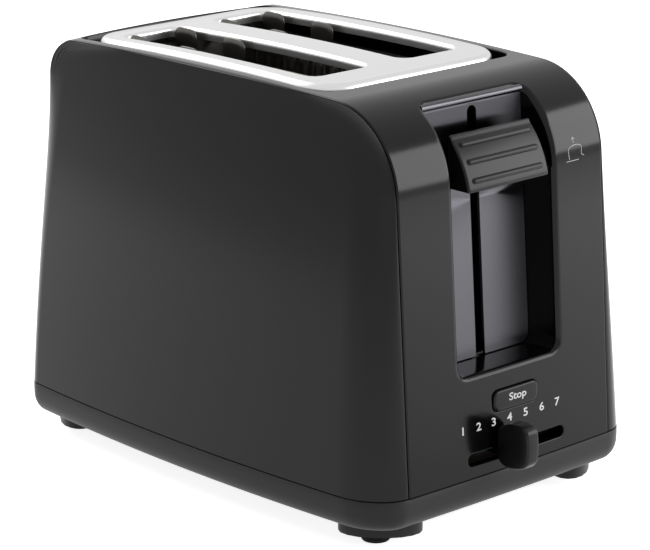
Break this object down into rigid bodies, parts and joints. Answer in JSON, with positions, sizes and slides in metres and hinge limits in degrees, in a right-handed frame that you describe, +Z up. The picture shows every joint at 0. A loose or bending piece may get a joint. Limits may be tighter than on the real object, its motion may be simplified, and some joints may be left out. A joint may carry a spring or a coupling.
{
  "type": "pop up toaster",
  "caption": "Pop-up toaster with bowed black plastic sides, a bright steel slotted top plate, an end lever in a recess, a stop button and a browning slider.",
  "frame": {"origin": "on the surface the feet stand on, under the middle of the bounding box", "axes": "+X towards the lever end, +Y across the two slots to the right side seen from the lever end, +Z up"},
  "size_m": [0.2702, 0.1718, 0.1907],
  "materials": {
    "housing_black": "polished",
    "panel_black": "polished",
    "base_black": "satin",
    "foot_rubber": "matte",
    "plate_steel": "satin",
    "guide_steel": "satin",
    "control_grey": "satin",
    "knob_black": "satin",
    "button_black": "satin",
    "chamber_steel": "satin",
    "wire_steel": "satin",
    "mica": "matte",
    "winding_copper": "satin",
    "board_green": "satin"
  },
  "bodies": {
    "chassis": {"housing": "housing_black", "side_panel_left": "panel_black", "side_panel_right": "panel_black", "base": "base_black", "foot_rear_left": "foot_rubber", "foot_rear_right": "foot_rubber", "foot_lever_left": "foot_rubber", "foot_lever_right": "foot_rubber", "top_plate": "plate_steel", "lever_guide": "guide_steel", "end_plate_lever": "chamber_steel", "end_plate_rear": "chamber_steel", "heat_shield_left": "chamber_steel", "heat_shield_right": "chamber_steel", "heating_element_left": "mica", "heating_element_centre": "mica", "heating_element_right": "mica", "bread_guard_1": "wire_steel", "bread_guard_2": "wire_steel", "bread_guard_3": "wire_steel", "bread_guard_4": "wire_steel", "guide_rod": "wire_steel", "electromagnet": "winding_copper", "contact_block": "control_grey", "circuit_board": "board_green", "browning_control": "control_grey", "stop_switch": "base_black", "cord_gland": "base_black", "screw_1": "wire_steel", "screw_2": "wire_steel", "screw_3": "wire_steel", "screw_4": "wire_steel"},
    "lever_carriage": {"carriage": "chamber_steel", "lever_stem": "chamber_steel", "lever_knob": "knob_black", "armature": "chamber_steel", "bread_rack_left": "wire_steel", "bread_rack_right": "wire_steel", "carriage_spring": "wire_steel"},
    "stop_button_body": {"stop_button": "button_black"},
    "browning_slider_body": {"browning_slider": "knob_black"},
    "crumb_tray_body": {"crumb_tray": "chamber_steel"}
  },
  "joints": [
    {"name": "lever_slide", "type": "slide", "parent": "chassis", "child": "lever_carriage", "axis": [0, 0, 1], "range_m": [-0.072, 0], "stiffness_N_per_m": 250, "springref_m": 0.02, "deforming": ["carriage_spring"]},
    {"name": "stop_button_press", "type": "slide", "parent": "chassis", "child": "stop_button_body", "axis": [-1, 0, 0], "range_m": [0, 0.0018], "stiffness_N_per_m": 700, "springref_m": -0.0015},
    {"name": "browning_slide", "type": "slide", "parent": "chassis", "child": "browning_slider_body", "axis": [0, 1, 0], "range_m": [-0.0175, 0.0366]},
    {"name": "crumb_tray_slide", "type": "slide", "parent": "chassis", "child": "crumb_tray_body", "axis": [-1, 0, 0], "range_m": [0, 0.205]}
  ]
}
